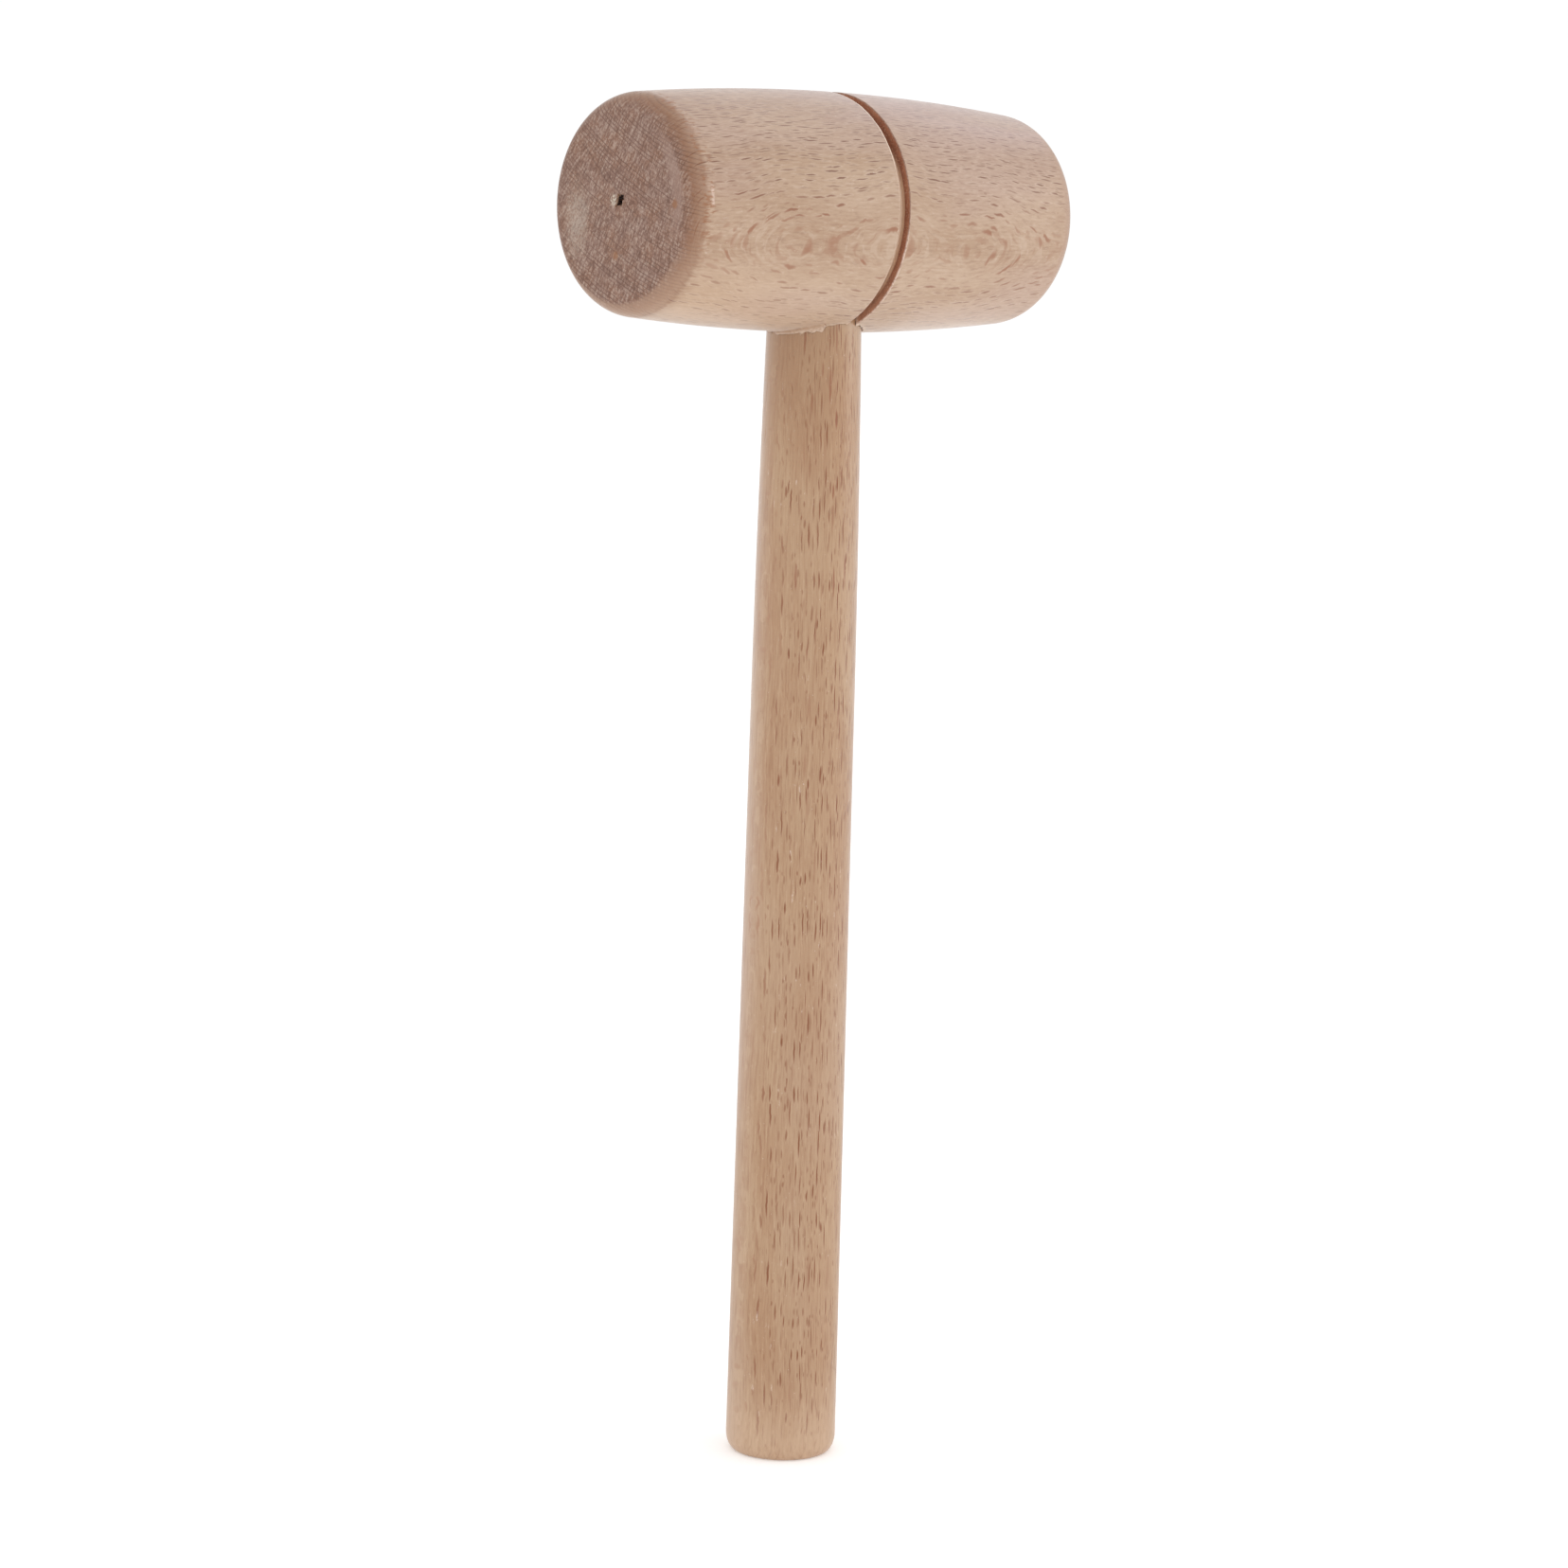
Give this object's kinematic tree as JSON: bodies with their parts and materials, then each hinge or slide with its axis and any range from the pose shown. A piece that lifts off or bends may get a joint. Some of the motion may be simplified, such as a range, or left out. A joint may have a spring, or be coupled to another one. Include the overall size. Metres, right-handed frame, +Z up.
{
  "type": "wooden mallet",
  "caption": "Round carpenter's mallet: a turned barrel head with flat faces and a groove round its middle, on a straight tapered handle.",
  "frame": {"origin": "middle of the butt's flat end, on the handle's axis", "axes": "+Z up the handle towards the head, X along the head through both struck faces"},
  "size_m": [0.1312, 0.06, 0.3489],
  "materials": {
    "head_wood": "bare turned beech, sanded, matte",
    "handle_wood": "bare turned beech, sanded, matte"
  },
  "bodies": {
    "root": {"head": "head_wood", "handle": "handle_wood"}
  },
  "joints": []
}
